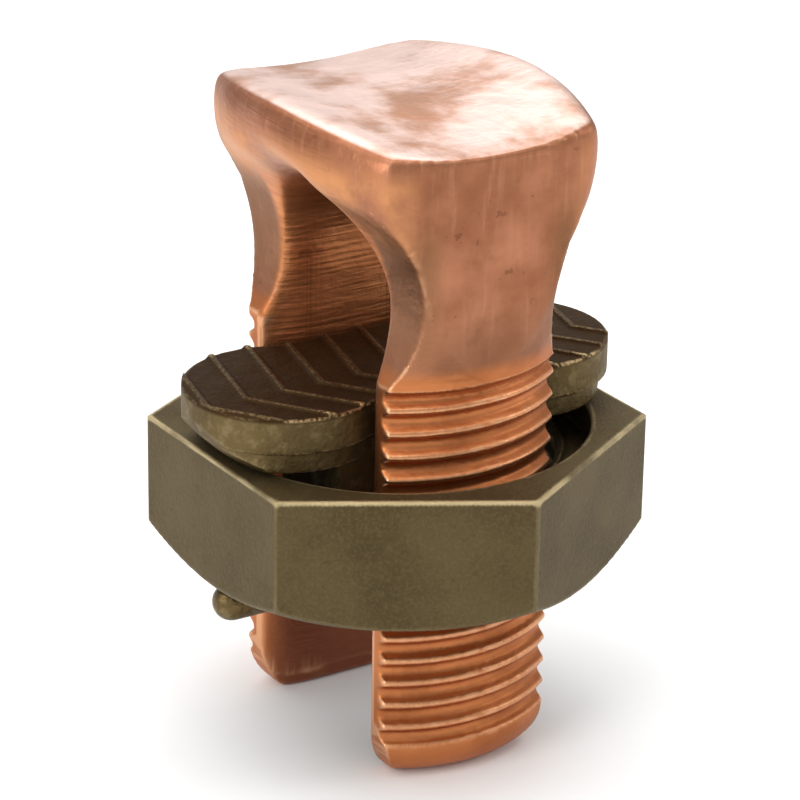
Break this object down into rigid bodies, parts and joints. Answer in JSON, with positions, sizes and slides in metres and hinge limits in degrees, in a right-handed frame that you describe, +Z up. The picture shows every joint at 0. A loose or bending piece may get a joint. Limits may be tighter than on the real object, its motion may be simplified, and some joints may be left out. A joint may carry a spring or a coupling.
{
  "type": "split bolt connector",
  "caption": "Split bolt wire connector: forged copper bolt with a slotted threaded shank, a serrated pressure bar in the slot and a hex nut that drives it.",
  "frame": {"origin": "on the bolt's axis at the level of the two leg tips, midway between the legs", "axes": "+Z up along the bolt's axis towards the head, X along the conductors through the slot, Y from leg to leg"},
  "size_m": [0.041, 0.044, 0.0599],
  "materials": {
    "bolt_copper": "forged copper, lightly burnished and streaked, bright on its edges",
    "bar_bronze": "cast bronze, dull brown, ridges and edges rubbed bright",
    "nut_bronze": "cast bronze, matt olive brown with a fine grain, edges rubbed bright"
  },
  "bodies": {
    "bolt": {"split_bolt": "bolt_copper"},
    "bar": {"pressure_bar": "bar_bronze"},
    "nut": {"hex_nut": "nut_bronze"}
  },
  "joints": [
    {"name": "bar_slide", "type": "slide", "parent": "bolt", "child": "bar", "axis": [0, 0, 1], "range_m": [-0.012, 0.01]},
    {"name": "nut_turn", "type": "hinge", "parent": "bar", "child": "nut", "pos_m": [0, 0, 0.0229], "axis": [0, 0, 1], "range_deg": [-2040, 1700]}
  ],
  "couplings": [
    {"joint": "bar_slide", "follows": "nut_turn", "m_per_rad": 0.00033688}
  ]
}
